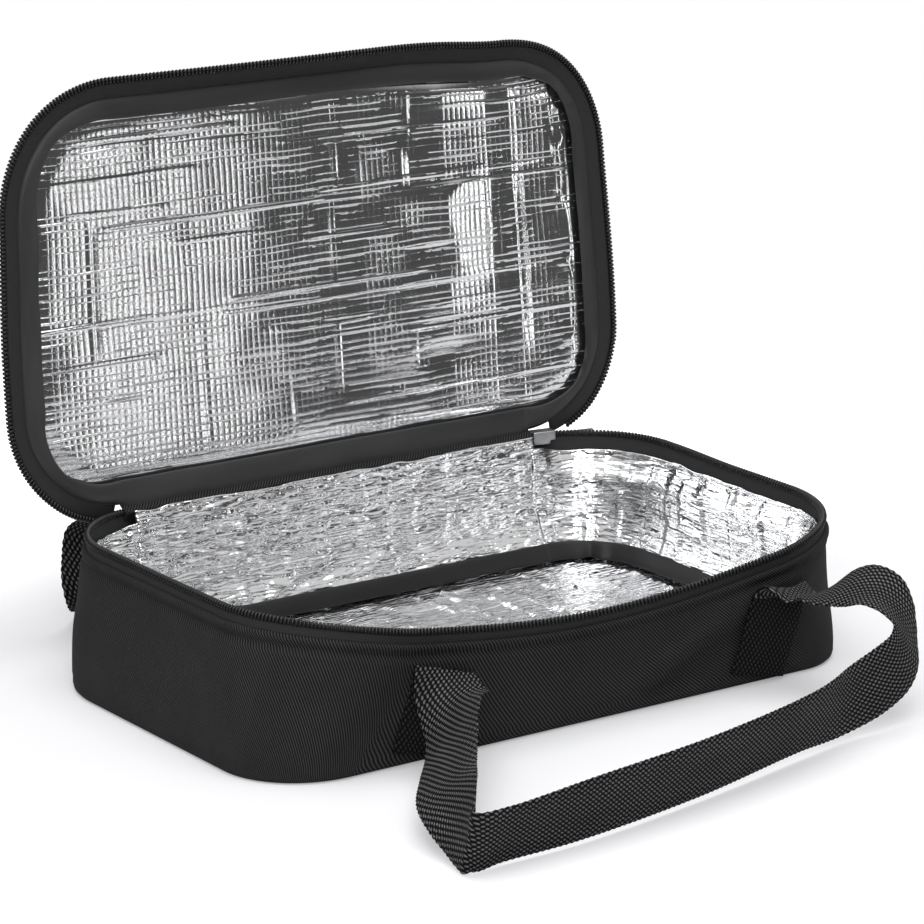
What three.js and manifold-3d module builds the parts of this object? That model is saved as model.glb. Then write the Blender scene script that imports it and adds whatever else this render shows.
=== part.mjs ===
// Insulated lunch bag with its lid open, in millimetres.
// +X runs along the bag to the right, +Y to the hinge at the back, +Z up.
// The origin is the middle of the base's underside, on the table.
import * as THREE from "three";
import { mergeVertices } from "three/addons/utils/BufferGeometryUtils.js";
import Module from "manifold-3d";

// Outline of the base at the zip and at the table
const rimLength = 262;
const rimWidth = 172;
const rimFrontRadius = 56;
const rimBackRadius = 40;
const floorLength = 260;
const floorWidth = 158;
const floorFrontRadius = 30;
const floorBackRadius = 39;

// Height of the zip line at the corners, and its dip in the middle of the front
const zipHeight = 54;
const frontSag = 12;

// Lid at its zip: longer than the rim, and less deep than the front of the open rim, which bows out
const lidLength = 270;
const lidDepth = 163.5;
const lidFrontRadius = 49;
const lidCurl = 7;

// Layers of the wall, from outside to inside, and the space kept between them
const fabric = 0.9;
const foam = 4;
const lining = 0.7;
const seamGap = 0.3;

// Turned seam round the bottom edge
const edgeTuck = 2.5;
const edgeRise = 5;

// Zip: half a chain on each side
const tape = 0.8;
const tapeShow = 6.5;
const tapeSewn = 7;
const lidTapeShow = 5;
const coilWidth = 2.2;
const coilHeight = 2;
const zipGap = 2.2;
const lidZipStart = 34; // degrees round the back corner where the lid's half begins

// Bindings over the raw seams inside
const lidBindingWidth = 8;
const floorBindingWidth = 9;
const floorBindingAngle = 28;
const binding = 1.8;

// Fabric hinge along the back
const hingeStrip = 0.6;
const hingeFold = 0.4;
const hingeLean = 3.5;
const hingeDrop = 0.3;
const lidOpening = 95;

// Carrying handles of webbing
const webbingWidth = 25;
const webbing = 1.5;
const legHeight = 36;
const legFoot = 1.5;
const legLean = 8;
const leftLegX = -67.5;
const rightLegX = 78.5;

// Zip slider and its pull
const sliderAngle = 10;
const sliderLength = 8;
const sliderPlate = 1;
const sliderRun = 0.6;
const sliderSkirt = 2.2;
const crownReach = 7.2;
const crownWire = 1;
const crownWindow = 1.8;
const crownDrop = 2.2;
const pullLength = 24;
const pullWidth = 6.4;
const pullThickness = 1;
const pullEyeLength = 5;
const pullEyeWidth = 2.6;

// Facets
const arcSteps = 8;
const frontSteps = 12;
const strapSteps = 72;

const colours = {
  fabric: { color: 0x1b1b1c, roughness: 0.9, metalness: 0 },
  webbing: { color: 0x161617, roughness: 0.85, metalness: 0 },
  foam: { color: 0xe6e6e2, roughness: 0.95, metalness: 0 },
  foil: { color: 0xc4c6c8, roughness: 0.25, metalness: 1 },
  binding: { color: 0x3a3b3d, roughness: 0.5, metalness: 0 },
  tape: { color: 0x141415, roughness: 0.9, metalness: 0 },
  coil: { color: 0x101011, roughness: 0.4, metalness: 0 },
  metal: { color: 0x77787a, roughness: 0.35, metalness: 1 },
};

const wasm = await Module();
wasm.setup();

const radians = THREE.MathUtils.degToRad;
const lerp = THREE.MathUtils.lerp;

// Where each layer of the wall lies, measured inwards from the outer face
const foamOut = fabric + seamGap;
const foamIn = foamOut + foam;
const liningOut = foamIn + seamGap;
const liningIn = liningOut + lining;
const tapeOut = foamOut;
const tapeIn = tapeOut + tape;
const coilInset = tapeOut + tape / 2;

// Layers of the floor, from the table up
const floorFoamZ = fabric + seamGap;
const floorLiningZ = floorFoamZ + foam + seamGap;
const wallLiningFoot = floorLiningZ + lining + seamGap;

// Hinge line of the lid
const hingeSewnInset = tapeOut + hingeStrip / 2;
const hingeInset = hingeSewnInset + hingeLean;
const hingeY = rimWidth / 2 - hingeInset;
const hingeZ = zipHeight - hingeDrop;

// Layers of the shut lid, from the binding up
const lidEdge = coilInset + coilWidth / 2 + seamGap + lidTapeShow;
const lidBindingZ = zipHeight + zipGap + coilHeight / 2;
const lidSeamZ = lidBindingZ + binding / 2;
const lidLiningZ = lidBindingZ + binding + seamGap;
const lidFoamZ = lidLiningZ + lining + seamGap;
const lidFabricZ = lidFoamZ + foam + seamGap;
const lidInside = lidEdge + fabric + seamGap;

// Closed mesh from points and triangles, turned so that its faces point out
function closedGeometry(points, triangles) {
  let volume = 0;
  for (const [a, b, c] of triangles) {
    volume += points[a].dot(new THREE.Vector3().crossVectors(points[b], points[c]));
  }
  const faces = volume < 0 ? triangles.map(([a, b, c]) => [a, c, b]) : triangles;
  const geometry = new THREE.BufferGeometry().setFromPoints(points);
  geometry.setIndex(faces.flat());
  geometry.computeVertexNormals();
  return geometry;
}

// Triangles of a flat section's own outline, wound the way its points run
function capTriangles(section) {
  const turn = Math.sign(THREE.ShapeUtils.area(section));
  return THREE.ShapeUtils.triangulateShape(section, []).map(([a, b, c]) => {
    const corner = [section[a], section[b], section[c]];
    return Math.sign(THREE.ShapeUtils.area(corner)) === turn ? [a, b, c] : [a, c, b];
  });
}

// Skin over a row of sections that all have the same number of points
function loft(sections, flatSection, closed) {
  const rows = sections.length;
  const width = sections[0].length;
  const triangles = [];
  for (let i = 0; i < (closed ? rows : rows - 1); i += 1) {
    const here = i * width;
    const next = ((i + 1) % rows) * width;
    for (let j = 0; j < width; j += 1) {
      const k = (j + 1) % width;
      triangles.push([here + j, next + j, next + k], [here + j, next + k, here + k]);
    }
  }
  if (!closed) {
    const last = (rows - 1) * width;
    for (const [a, b, c] of capTriangles(flatSection)) {
      triangles.push([a, b, c], [last + a, last + c, last + b]);
    }
  }
  return closedGeometry(sections.flat(), triangles);
}

// A three.js geometry as a solid for joining and cutting
function solidOf(geometry) {
  const bare = geometry.clone();
  bare.deleteAttribute("normal");
  bare.deleteAttribute("uv");
  const merged = mergeVertices(bare, 1e-4);
  return new wasm.Manifold(
    new wasm.Mesh({
      numProp: 3,
      vertProperties: new Float32Array(merged.attributes.position.array),
      triVerts: new Uint32Array(merged.index.array),
    }),
  );
}

function cut(geometry, ...tools) {
  let solid = solidOf(geometry);
  for (const tool of tools) {
    solid = solid.subtract(solidOf(tool));
  }
  const mesh = solid.getMesh();
  const result = new THREE.BufferGeometry();
  result.setAttribute("position", new THREE.BufferAttribute(mesh.vertProperties, 3));
  result.setIndex(new THREE.BufferAttribute(mesh.triVerts, 1));
  result.computeVertexNormals();
  return result;
}

// Plan of the bag at a height: it widens from the table to the zip
function planAt(z) {
  const share = THREE.MathUtils.clamp(z / zipHeight, 0, 1);
  return {
    halfLength: lerp(floorLength, rimLength, share) / 2,
    halfWidth: lerp(floorWidth, rimWidth, share) / 2,
    frontRadius: lerp(floorFrontRadius, rimFrontRadius, share),
    backRadius: lerp(floorBackRadius, rimBackRadius, share),
  };
}

// A station is a place on the plan's edge, given any plan and inset
function cornerStation(sideX, sideY, angle) {
  return (plan, inset) => {
    const radius = sideY < 0 ? plan.frontRadius : plan.backRadius;
    return new THREE.Vector2(
      sideX * (plan.halfLength - radius) + (radius - inset) * Math.cos(angle),
      sideY * (plan.halfWidth - radius) + (radius - inset) * Math.sin(angle),
    );
  };
}

function cornerRun(sideX, sideY, from, to) {
  const angles = Array.from({ length: arcSteps + 1 }, (_, i) => lerp(from, to, i / arcSteps));
  return angles.map((angle) => cornerStation(sideX, sideY, radians(angle)));
}

function straightRun(from, to, steps) {
  return Array.from({ length: steps - 1 }, (_, i) => {
    const share = (i + 1) / steps;
    return (plan, inset) => from(plan, inset).lerp(to(plan, inset), share);
  });
}

// From the hinge's right end round the right side, the front and the left side
function zipRun(start) {
  const backRight = cornerRun(1, 1, 90 - start, 0);
  const frontRight = cornerRun(1, -1, 0, -90);
  const frontLeft = cornerRun(-1, -1, -90, -180);
  const backLeft = cornerRun(-1, 1, 180, 90 + start);
  const front = straightRun(frontRight.at(-1), frontLeft[0], frontSteps);
  return [...backRight, ...frontRight, ...front, ...frontLeft, ...backLeft];
}

// Along the hinge from left to right, a seam's gap short of the corners
function hingeRun() {
  return [-1, 1].map((side) => (plan, inset) => {
    const x = side * (plan.halfLength - plan.backRadius - seamGap);
    return new THREE.Vector2(x, plan.halfWidth - inset);
  });
}

// Height of the zip line at a station
function zipAt(station) {
  const place = station(planAt(zipHeight), 0);
  const dip = place.y < 0 ? Math.cos((Math.PI * place.x) / rimLength) ** 2 : 0;
  return zipHeight - frontSag * dip;
}

// Plan of the shut lid, about its own middle, with its hinge as long as the base's
function lidPlan() {
  return {
    halfLength: lidLength / 2,
    halfWidth: lidDepth / 2,
    frontRadius: lidFrontRadius,
    backRadius: rimBackRadius + (lidLength - rimLength) / 2,
  };
}

// Height of the lid's half of the zip at a station: it curls towards the base at the front
function lidZipAt(station) {
  const place = station(lidPlan(), 0);
  const dip = place.y < 0 ? Math.cos((Math.PI * place.x) / lidLength) ** 2 : 0;
  return zipHeight + zipGap - lidCurl * dip;
}

// Solid whose section, in inset and height, is carried along a run of stations
function band(run, sectionAt, { closed = false, plan = planAt, line = zipAt } = {}) {
  const sections = run.map((station) =>
    sectionAt(line(station)).map(([inset, z]) => {
      const place = station(plan(z), inset);
      return new THREE.Vector3(place.x, place.y, z);
    }),
  );
  const flat = sectionAt(line(run[0])).map(([inset, z]) => new THREE.Vector2(inset, z));
  return loft(sections, flat, closed);
}

// Section of a thin strip from one point to another
function stripSection([startIn, startZ], [endIn, endZ], thickness) {
  const along = new THREE.Vector2(endIn - startIn, endZ - startZ).normalize();
  const offX = (-along.y * thickness) / 2;
  const offZ = (along.x * thickness) / 2;
  return [
    [startIn - offX, startZ - offZ],
    [endIn - offX, endZ - offZ],
    [endIn + offX, endZ + offZ],
    [startIn + offX, startZ + offZ],
  ];
}

// Section of a thin strip that bends once on its way
function bentStripSection(start, bend, end, thickness) {
  const [startRight, , , startLeft] = stripSection(start, bend, thickness);
  const [, endRight, endLeft] = stripSection(bend, end, thickness);
  const into = new THREE.Vector2(bend[0] - start[0], bend[1] - start[1]).normalize();
  const outOf = new THREE.Vector2(end[0] - bend[0], end[1] - bend[1]).normalize();
  const mitre = into.clone().add(outOf).normalize();
  const reach = thickness / 2 / mitre.dot(into);
  const offX = -mitre.y * reach;
  const offZ = mitre.x * reach;
  const bendRight = [bend[0] - offX, bend[1] - offZ];
  const bendLeft = [bend[0] + offX, bend[1] + offZ];
  return [startRight, bendRight, endRight, endLeft, bendLeft, startLeft];
}

// Flat sheet with the plan's outline
function sheet(plan, inset, z, thickness) {
  const x = plan.halfLength - inset;
  const y = plan.halfWidth - inset;
  const front = plan.frontRadius - inset;
  const back = plan.backRadius - inset;
  const outline = new THREE.Shape();
  outline.absarc(x - front, -y + front, front, -Math.PI / 2, 0);
  outline.absarc(x - back, y - back, back, 0, Math.PI / 2);
  outline.absarc(-x + back, y - back, back, Math.PI / 2, Math.PI);
  outline.absarc(-x + front, -y + front, front, Math.PI, 1.5 * Math.PI);
  const options = { depth: thickness, bevelEnabled: false, curveSegments: arcSteps };
  return new THREE.ExtrudeGeometry(outline, options).translate(0, 0, z);
}

function named(name, geometry, finish) {
  const mesh = new THREE.Mesh(geometry, new THREE.MeshStandardMaterial(colours[finish]));
  mesh.name = name;
  return mesh;
}

// Sections of the wall's layers, for a zip line at height top
function fabricSection(top) {
  return [
    [edgeTuck, 0],
    [0, edgeRise],
    [0, top - tapeShow],
    [fabric, top - tapeShow],
    [fabric, edgeRise],
    [edgeTuck + fabric, 0],
  ];
}

function foamTop(top) {
  return top - tapeShow - tapeSewn - seamGap;
}

function foamSection(top) {
  return [
    [foamOut, floorLiningZ],
    [foamOut, foamTop(top)],
    [foamIn, foamTop(top)],
    [foamIn, floorLiningZ],
  ];
}

// The lining runs over the foam's top edge to the zip tape
function liningSection(top) {
  const seamOut = tapeIn + seamGap;
  const overFoam = foamTop(top) + seamGap;
  const atTape = overFoam + liningOut - seamOut;
  return [
    [liningOut, wallLiningFoot],
    [liningOut, overFoam],
    [seamOut, atTape],
    [seamOut, top - tapeShow],
    [seamOut + lining, top - tapeShow],
    [seamOut + lining, atTape],
    [liningIn, overFoam],
    [liningIn, wallLiningFoot],
  ];
}

function baseTapeSection(top) {
  const foot = top - tapeShow - tapeSewn;
  const head = top - coilHeight - seamGap;
  return stripSection([coilInset, foot], [coilInset, head], tape);
}

function coilSection(middle) {
  return Array.from({ length: 8 }, (_, i) => {
    const angle = ((i + 0.5) * Math.PI) / 4;
    const reach = 1 / Math.cos(Math.PI / 8) / 2;
    return [
      coilInset + coilWidth * reach * Math.cos(angle),
      middle + coilHeight * reach * Math.sin(angle),
    ];
  });
}

function lidTapeSection(foot) {
  const start = [coilInset + (coilWidth + tape) / 2 + seamGap, foot + coilHeight / 2];
  return stripSection(start, [lidEdge - tape / 2, lidSeamZ], tape);
}

function lidBindingSection() {
  const outer = lidEdge + seamGap;
  return [
    [outer, lidBindingZ],
    [outer + lidBindingWidth, lidBindingZ],
    [outer + lidBindingWidth, lidBindingZ + binding],
    [outer, lidBindingZ + binding],
  ];
}

// The floor's binding stands up from the corner and leans inwards
function floorBindingSection() {
  const slope = radians(floorBindingAngle);
  const rootIn = liningIn + seamGap + binding * Math.sin(slope);
  const rootZ = wallLiningFoot;
  const reachIn = floorBindingWidth * Math.cos(slope);
  const reachZ = floorBindingWidth * Math.sin(slope);
  const backIn = binding * Math.sin(slope);
  const backZ = binding * Math.cos(slope);
  return [
    [rootIn, rootZ],
    [rootIn + reachIn, rootZ + reachZ],
    [rootIn + reachIn - backIn, rootZ + reachZ + backZ],
    [rootIn - backIn, rootZ + backZ],
  ];
}

// Base: outer fabric, foam and foil, the floor, and the base's half of the zip
function makeBase() {
  const wall = zipRun(0);
  const back = hingeRun();
  const floor = planAt(0);
  const liningPlan = planAt(floorLiningZ + lining);
  const hingeFoot = [hingeSewnInset, zipHeight - tapeShow - tapeSewn];
  const hingeBend = [hingeSewnInset, zipHeight - tapeShow + fabric];
  const hingeHead = [hingeInset, hingeZ - hingeFold];
  const hingeSection = () => bentStripSection(hingeFoot, hingeBend, hingeHead, hingeStrip);
  const floorFoamInset = edgeTuck + fabric + seamGap;
  return [
    named("base_gusset_fabric", band(wall, fabricSection), "fabric"),
    named("base_gusset_foam", band(wall, foamSection), "foam"),
    named("base_gusset_lining", band(wall, liningSection), "foil"),
    named("base_back_fabric", band(back, fabricSection), "fabric"),
    named("base_back_foam", band(back, foamSection), "foam"),
    named("base_back_lining", band(back, liningSection), "foil"),
    named("base_floor_fabric", sheet(floor, floorFoamInset, 0, fabric), "fabric"),
    named("base_floor_foam", sheet(floor, floorFoamInset, floorFoamZ, foam), "foam"),
    named("base_floor_lining", sheet(liningPlan, liningOut, floorLiningZ, lining), "foil"),
    named("base_floor_binding", band(wall, floorBindingSection, { closed: true }), "binding"),
    named("base_zip_tape", band(wall, baseTapeSection), "tape"),
    named("base_zip_coil", band(wall, (top) => coilSection(top - coilHeight / 2)), "coil"),
    named("hinge_strip_lower", band(back, hingeSection), "fabric"),
  ];
}

// Lid, built shut: a padded panel, its binding and the lid's half of the zip
function makeLid() {
  const edge = lidPlan();
  const zip = { plan: lidPlan, line: lidZipAt };
  const wall = zipRun(lidZipStart);
  const coil = (foot) => coilSection(foot + coilHeight / 2);
  const stripStart = [hingeInset + hingeFold, hingeZ];
  const hingeSection = () => stripSection(stripStart, [lidEdge, lidSeamZ], hingeStrip);
  const skirt = lidFabricZ + fabric - lidLiningZ;
  const block = sheet(edge, lidEdge, lidLiningZ, skirt);
  const hollow = sheet(edge, lidEdge + fabric, lidLiningZ - seamGap, skirt - fabric + seamGap);
  const bindingRing = band(zipRun(0), lidBindingSection, { ...zip, closed: true });
  return [
    named("lid_outer_fabric", cut(block, hollow), "fabric"),
    named("lid_foam", sheet(edge, lidInside, lidFoamZ, foam), "foam"),
    named("lid_lining", sheet(edge, lidInside, lidLiningZ, lining), "foil"),
    named("lid_binding", bindingRing, "binding"),
    named("lid_zip_tape", band(wall, lidTapeSection, zip), "tape"),
    named("lid_zip_coil", band(wall, coil, zip), "coil"),
    named("hinge_strip_upper", band(hingeRun(), hingeSection, zip), "fabric"),
  ];
}

// Sets the shut lid with its back edge over the base's, then turns it about the hinge line
function openedLid(pieces) {
  const shut = new THREE.Group();
  shut.position.set(0, (rimWidth - lidDepth) / 2 - hingeY, -hingeZ);
  shut.add(...pieces);
  const opened = new THREE.Group();
  opened.position.set(0, hingeY, hingeZ);
  opened.rotation.x = -radians(lidOpening);
  opened.add(shut);
  return opened;
}

// Slider on the base's coil: +X along the zip, +Y outwards, +Z up, coil at the middle
function makeSlider() {
  const channel = coilWidth / 2 + sliderRun;
  const side = channel + sliderPlate;
  const channelTop = coilHeight / 2 + seamGap;
  const top = channelTop + sliderPlate;
  const foot = -coilHeight / 2 - sliderSkirt;
  const height = top - foot;
  const block = new THREE.BoxGeometry(sliderLength, 2 * side, height);
  block.translate(0, 0, foot + height / 2);
  const slot = new THREE.BoxGeometry(2 * sliderLength, 2 * channel, 2 * height);
  slot.translate(0, 0, channelTop - height);

  const crownFoot = side + seamGap;
  const crownInner = side + crownWindow;
  const crownOuter = crownInner + crownWire;
  const legIn = crownReach / 2 - crownWire;
  const arch = new THREE.Shape();
  arch.moveTo(-crownReach / 2, crownFoot);
  arch.lineTo(-legIn, crownFoot);
  arch.lineTo(-legIn, crownInner);
  arch.lineTo(legIn, crownInner);
  arch.lineTo(legIn, crownFoot);
  arch.lineTo(crownReach / 2, crownFoot);
  arch.lineTo(crownReach / 2, crownOuter);
  arch.lineTo(-crownReach / 2, crownOuter);
  const crown = new THREE.ExtrudeGeometry(arch, { depth: crownWire, bevelEnabled: false });
  crown.translate(0, 0, -crownDrop - crownWire / 2);

  // The pull turns on its own short bar, inside the crown
  const barHalf = pullThickness / 2;
  const tail = pullLength - pullWidth / 2;
  const tag = new THREE.Shape();
  tag.moveTo(-barHalf, -pullWidth / 2);
  tag.lineTo(tail, -pullWidth / 2);
  tag.absarc(tail, 0, pullWidth / 2, -Math.PI / 2, Math.PI / 2);
  tag.lineTo(-barHalf, pullWidth / 2);
  const eye = new THREE.Path();
  eye.moveTo(barHalf, -pullEyeWidth / 2);
  eye.lineTo(barHalf, pullEyeWidth / 2);
  eye.lineTo(barHalf + pullEyeLength, pullEyeWidth / 2);
  eye.lineTo(barHalf + pullEyeLength, -pullEyeWidth / 2);
  tag.holes.push(eye);
  const flat = { depth: pullThickness, bevelEnabled: false, curveSegments: arcSteps };
  const pull = new THREE.ExtrudeGeometry(tag, flat);
  pull.translate(0, 0, -barHalf);
  pull.rotateX(Math.PI / 2);
  pull.translate(0, (side + crownInner) / 2, -crownDrop);

  const rim = planAt(zipHeight);
  const turn = radians(sliderAngle);
  const reach = rim.backRadius - coilInset;
  const group = new THREE.Group();
  group.position.set(
    rim.halfLength - rim.backRadius + reach * Math.sin(turn),
    rim.halfWidth - rim.backRadius + reach * Math.cos(turn),
    zipHeight - coilHeight / 2,
  );
  group.rotation.z = -turn;
  group.add(
    named("slider_body", cut(block, slot), "metal"),
    named("slider_crown", crown, "metal"),
    named("slider_pull", pull, "metal"),
  );
  return group;
}

// Distance from the bag's middle to the outside of the wall, at the front or back
function wallOut(z) {
  return planAt(z).halfWidth;
}

// A handle lies in its own frame: x along the wall, out away from it, z up
const handleOut = wallOut(legHeight) + seamGap + webbing + seamGap;

// Sewn end of a handle, flat against the wall
function legGeometry(topX) {
  const levels = [
    { z: legFoot, x: topX - legLean },
    { z: legHeight, x: topX },
  ];
  const sections = levels.map(({ z, x }) => {
    const inner = wallOut(z) + seamGap;
    return [
      new THREE.Vector3(x - webbingWidth / 2, -inner, z),
      new THREE.Vector3(x + webbingWidth / 2, -inner, z),
      new THREE.Vector3(x + webbingWidth / 2, -inner - webbing, z),
      new THREE.Vector3(x - webbingWidth / 2, -inner - webbing, z),
    ];
  });
  const flat = sections[0].map((point) => new THREE.Vector2(point.x, point.y));
  return loft(sections, flat, false);
}

// Route of a free strap: the leg that a point is measured from, then the middle of the strap
// (along the wall from that leg, out from the wall, up from the table) and the way across it
const foldZ = legHeight - webbing / 2;
const foldOut = 0.1;
const frontRoute = [
  ["left", [0, foldOut, foldZ], [1, 0, 0]],
  ["left", [0, 3, foldZ - 0.2], [1, 0, 0]],
  ["left", [0, 8, 32], [0.95, 0.15, 0.2]],
  ["left", [-6, 17, 26.5], [0.64, 0.53, 0.56]],
  ["left", [-18, 31, 25.5], [0.5, 0.47, 0.73]],
  ["left", [-35, 51, 23], [0.56, 0.52, 0.64]],
  ["left", [-49, 72, 18.5], [0.38, 0.45, 0.8]],
  ["left", [-50, 85, 14], [0.1, 0.43, 0.9]],
  ["left", [-41, 92, 12], [-0.08, 0.43, 0.9]],
  ["left", [-9, 91, 12.5], [0, 0.5, 0.87]],
  ["left", [48, 82, 13], [0.08, 0.4, 0.91]],
  ["right", [-43, 68, 13.5], [0.02, 0.1, 0.99]],
  ["right", [-7, 57, 15], [-0.11, -0.13, 0.99]],
  ["right", [11, 60, 19], [-0.24, 0.49, 0.84]],
  ["right", [22, 58, 28], [-0.38, 0.82, 0.42]],
  ["right", [13.5, 47, 40], [-0.86, 0.48, -0.2]],
  ["right", [5, 32, 43.5], [-0.88, 0.36, -0.32]],
  ["right", [1, 16, 38.5], [-0.98, 0.2, 0.05]],
  ["right", [0, 8, 36], [-1, 0.05, 0]],
  ["right", [0, 3, foldZ + 0.1], [-1, 0, 0]],
  ["right", [0, foldOut, foldZ], [-1, 0, 0]],
];
const backRoute = [
  ["left", [0, foldOut, foldZ], [1, 0, 0]],
  ["left", [0, 3, foldZ - 0.6], [1, 0, 0]],
  ["left", [0, 7, 30.5], [1, 0.1, 0]],
  ["left", [-1, 11, 23], [0.92, 0.38, 0.13]],
  ["left", [-6, 22, 14.5], [0.65, 0.6, 0.46]],
  ["left", [-18, 35, 13.5], [0.44, 0.44, 0.78]],
  ["left", [-33, 47, 13.5], [0.24, 0.15, 0.96]],
  ["left", [-40, 64, 13.5], [0, 0, 1]],
  ["left", [-30, 79, 13.5], [0, 0, 1]],
  ["left", [-11, 81, 13.5], [0, 0, 1]],
  ["left", [19, 71, 13.5], [0, 0, 1]],
  ["left", [62, 63, 13.5], [0, 0.19, 0.98]],
  ["right", [-46, 68, 13.5], [0, 0.24, 0.97]],
  ["right", [-21, 64, 13.5], [-0.1, 0, 1]],
  ["right", [-7, 52, 13.5], [-0.28, -0.2, 0.94]],
  ["right", [2, 35, 12.5], [-0.6, -0.34, 0.7]],
  ["right", [11, 19, 15], [-0.78, -0.4, 0.42]],
  ["right", [19, 12, 24], [-0.82, -0.5, 0.27]],
  ["right", [21, 13, 35], [-0.8, -0.55, 0.2]],
  ["right", [12, 18, 37.5], [-0.85, -0.45, 0.17]],
  ["right", [2, 13, 36.5], [-0.95, -0.1, 0.15]],
  ["right", [0, 7, 35.8], [-1, 0, 0.08]],
  ["right", [0, 3, foldZ + 0.1], [-1, 0, 0]],
  ["right", [0, foldOut, foldZ], [-1, 0, 0]],
];

// Ribbon of webbing along a route
function strapGeometry(route) {
  const legX = { left: leftLegX, right: rightLegX };
  const middles = [];
  const ways = [];
  for (const [leg, [x, out, z], [acrossX, acrossOut, acrossZ]] of route) {
    middles.push(new THREE.Vector3(legX[leg] + x, -handleOut - out, z));
    ways.push(new THREE.Vector3(acrossX, -acrossOut, acrossZ).normalize());
  }
  const middle = new THREE.CatmullRomCurve3(middles);
  const across = new THREE.CatmullRomCurve3(ways);
  const sections = [];
  for (let i = 0; i <= strapSteps; i += 1) {
    const share = i / strapSteps;
    const centre = middle.getPoint(share);
    const along = middle.getTangent(share);
    const way = across.getPoint(share);
    way.addScaledVector(along, -way.dot(along)).normalize();
    const face = new THREE.Vector3().crossVectors(along, way);
    const corner = (wide, thick) =>
      centre
        .clone()
        .addScaledVector(way, (wide * webbingWidth) / 2)
        .addScaledVector(face, (thick * webbing) / 2);
    sections.push([corner(-1, -1), corner(1, -1), corner(1, 1), corner(-1, 1)]);
  }
  const flat = [
    new THREE.Vector2(-1, -1),
    new THREE.Vector2(1, -1),
    new THREE.Vector2(1, 1),
    new THREE.Vector2(-1, 1),
  ];
  return loft(sections, flat, false);
}

// Handle on the front, or turned half round onto the back
function makeHandle(name, route, turn) {
  const handle = new THREE.Group();
  handle.rotation.z = turn;
  handle.add(
    named(`${name}_left_leg`, legGeometry(leftLegX), "webbing"),
    named(`${name}_right_leg`, legGeometry(rightLegX), "webbing"),
    named(`${name}_strap`, strapGeometry(route), "webbing"),
  );
  return handle;
}

const lunchBag = new THREE.Group();
lunchBag.add(
  ...makeBase(),
  openedLid(makeLid()),
  makeSlider(),
  makeHandle("front_handle", frontRoute, 0),
  makeHandle("back_handle", backRoute, Math.PI),
);

export default lunchBag;
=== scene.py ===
"""Open insulated lunch bag: fabric, foil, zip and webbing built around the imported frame."""

import math

import bpy
import numpy as np
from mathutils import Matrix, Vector


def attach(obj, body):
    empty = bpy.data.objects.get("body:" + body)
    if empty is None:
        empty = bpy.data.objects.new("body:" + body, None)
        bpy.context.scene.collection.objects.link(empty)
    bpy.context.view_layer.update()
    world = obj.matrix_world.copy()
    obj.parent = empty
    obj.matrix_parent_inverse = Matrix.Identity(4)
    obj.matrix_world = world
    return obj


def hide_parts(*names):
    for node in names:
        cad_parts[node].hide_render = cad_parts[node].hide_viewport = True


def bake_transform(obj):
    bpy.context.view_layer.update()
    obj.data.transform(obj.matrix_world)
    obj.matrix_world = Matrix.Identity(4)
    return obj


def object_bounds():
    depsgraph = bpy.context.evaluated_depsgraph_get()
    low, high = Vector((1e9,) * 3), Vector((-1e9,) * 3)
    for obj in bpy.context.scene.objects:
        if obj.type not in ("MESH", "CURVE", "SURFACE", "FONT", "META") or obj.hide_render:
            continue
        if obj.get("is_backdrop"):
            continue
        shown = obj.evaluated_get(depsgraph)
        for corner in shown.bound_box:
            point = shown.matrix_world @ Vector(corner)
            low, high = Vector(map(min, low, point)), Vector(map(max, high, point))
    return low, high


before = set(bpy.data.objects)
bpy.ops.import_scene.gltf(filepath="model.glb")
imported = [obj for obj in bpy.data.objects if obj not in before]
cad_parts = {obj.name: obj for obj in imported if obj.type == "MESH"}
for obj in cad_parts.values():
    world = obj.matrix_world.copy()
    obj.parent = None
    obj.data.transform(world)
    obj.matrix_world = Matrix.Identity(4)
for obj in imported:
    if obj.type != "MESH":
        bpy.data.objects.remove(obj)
cad_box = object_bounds()

MM = 0.001

# Plans of the bag's edge in millimetres: half length, half width, front and back corner radius
RIM = (131, 86, 56, 40)
FLOOR = (130, 79, 30, 39)
LID = (135, 81.75, 49, 44)
ZIP_HEIGHT = 54
FRONT_SAG = 12
LID_CURL = 7
ZIP_GAP = 2.2
LID_TAIL = 3.6

# Hinge line, and how the lid's own plan lies over the base before it is opened
HINGE_Y = 81.0
HINGE_Z = 53.7
LID_SHIFT = 4.25
LID_OPENING = math.radians(-95)

# Heights of the shut lid's layers
LID_SEAM = 58.1
LID_LINING = 59.3
LID_FOOT = 58.6
LID_TOP = 65.5

# Places along an edge count its eight arcs and straights; the last one is the hinge's
WALL_END = 7.0
EDGE_END = 8.0
LAST_PLACE = 7.99999
EDGE_STEP = 2.0

# Sheets: thickness, and how far a panel's edge lies inside its plan
FABRIC_THICK = 0.8
FILM_THICK = 0.3
HINGE_THICK = 0.7
BOTTOM_INSET = 4.6
FLOOR_FOIL_INSET = 7.0
LID_FOIL_INSET = 9.2
LID_FABRIC_INSET = 7.2

# Zip
COIL_INSET = 1.6
TOOTH_PITCH = 1.5
TAPE_THICK = 0.8
TAPE_WIDTH = 12.0
COIL_DROP = 1.15

# Webbing
WEB_WIDTH = 25
WEB_THICK = 1.5
WEB_STEP = 0.625
LEG_HEIGHT = 36
LEG_LEAN = 8
SCALLOP = 2.4
LEFT_LEG = -67.5
RIGHT_LEG = 78.5

# Camera read from the photograph
VIEW_AZIMUTH = math.radians(35.32)
VIEW_ELEVATION = math.radians(15.364)
VIEW_DISTANCE = 1481.8
VIEW_TARGET = (0.1, 0, 76.34)
VIEW_LENS = 160.7
SENSOR = 36


# Noise and small maths


def eased(low, high, x):
    t = np.clip((x - low) / (high - low), 0, 1)
    return t * t * (3 - 2 * t)


def bump_at(x, centre, width):
    return np.exp(-(((x - centre) / width) ** 2))


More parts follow.
